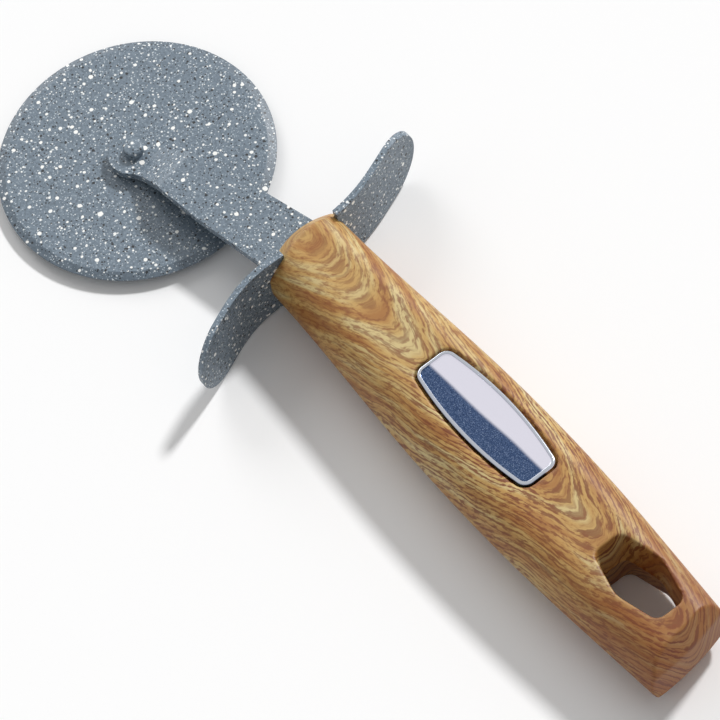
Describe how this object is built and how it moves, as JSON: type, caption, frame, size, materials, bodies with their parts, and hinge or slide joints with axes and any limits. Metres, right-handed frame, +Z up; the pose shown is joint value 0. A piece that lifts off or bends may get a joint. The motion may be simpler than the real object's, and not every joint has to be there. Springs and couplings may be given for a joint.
{
  "type": "pizza cutter wheel",
  "caption": "Hand-held pizza cutter: a coated steel disc that spins on a stepped arm, with a swept finger guard and a moulded wood-look handle with a plain badge and a hanging hole.",
  "frame": {"origin": "centre of the axle rivet's flat foot, on the wheel's axis, on the plane that the tool lies on", "axes": "+X along the handle from the wheel to its butt, +Y towards the finger side, +Z up out of the badge side, along the wheel's axis"},
  "size_m": [0.2188, 0.079, 0.0181],
  "materials": {
    "speckled_coating": "satin speckled non-stick coating",
    "bush_plastic": "matt",
    "bare_steel": "brushed",
    "wood_look_moulding": "satin, printed wood grain",
    "badge_chrome": "polished",
    "glue_pad": "matt"
  },
  "bodies": {
    "frame": {"wheel_arm": "speckled_coating", "axle_rivet": "speckled_coating", "spacer_washer": "bare_steel", "finger_guard": "speckled_coating", "handle_body": "wood_look_moulding", "badge_plate": "badge_chrome", "badge_pad": "glue_pad"},
    "wheel": {"cutting_wheel": "speckled_coating", "wheel_bush": "bush_plastic"}
  },
  "joints": [
    {"name": "wheel_spin", "type": "hinge", "parent": "frame", "child": "wheel", "pos_m": [0, 0, 0.0019], "axis": [0, 0, 1], "continuous": true}
  ]
}
